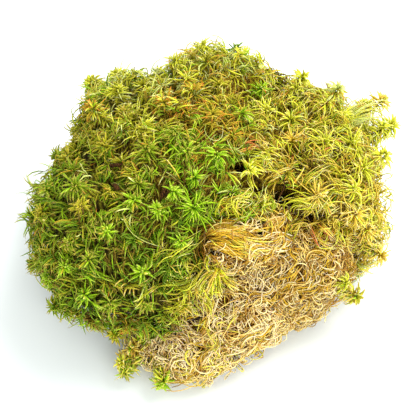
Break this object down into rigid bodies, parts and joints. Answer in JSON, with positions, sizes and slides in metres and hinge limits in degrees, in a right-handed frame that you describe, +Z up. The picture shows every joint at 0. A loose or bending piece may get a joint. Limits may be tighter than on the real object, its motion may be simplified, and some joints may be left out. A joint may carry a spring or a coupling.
{
  "type": "bog moss clump",
  "caption": "Springy clump of live bog moss: green star-headed shoots, yellow and rust tips on one side, a pale straw tangle of old stems in front. Rests on a table or soil as ground cover.",
  "frame": {"origin": "on the table plane, under the middle of the clump's outline", "axes": "+Z up from the table, +X to the clump's right as the picture shows it, -Y to the front, where the straw tangle is"},
  "size_m": [0.1808, 0.1704, 0.0952],
  "materials": {
    "living_moss": "soft matte moss, deep green in the hollows and yellow-green at the tips",
    "loose_shoot": "soft matte moss, yellow-green",
    "bleached_stems": "dry straw fibre, pale and matte",
    "golden_stems": "damp straw fibre, golden, with a faint sheen",
    "dead_needle": "dark brown, dry",
    "dead_leaf": "crumbly red-brown, matte"
  },
  "bodies": {
    "root": {"dark_needle": "dead_needle", "golden_hank": "golden_stems", "leaf_scrap_fork": "dead_leaf", "leaf_scrap_long": "dead_leaf", "leaf_scrap_middle": "dead_leaf", "moss_cushion": "living_moss", "shoot_back": "loose_shoot", "shoot_back_left": "loose_shoot", "shoot_back_left_low": "loose_shoot", "shoot_back_left_tip": "loose_shoot", "shoot_back_right": "loose_shoot", "shoot_back_top": "loose_shoot", "shoot_front_floor": "loose_shoot", "shoot_front_left": "loose_shoot", "shoot_left_foot": "loose_shoot", "shoot_left_low": "loose_shoot", "shoot_left_rim": "loose_shoot", "shoot_left_shoulder": "loose_shoot", "shoot_left_upper": "loose_shoot", "shoot_rear_left": "loose_shoot", "shoot_rear_right": "loose_shoot", "shoot_right_foot": "loose_shoot", "shoot_right_low": "loose_shoot", "shoot_right_rim": "loose_shoot", "shoot_right_shoulder": "loose_shoot", "shoot_right_tuft": "loose_shoot", "shoot_right_tuft_low": "loose_shoot", "shoot_toe": "loose_shoot", "straw_tangle": "bleached_stems"}
  },
  "joints": []
}
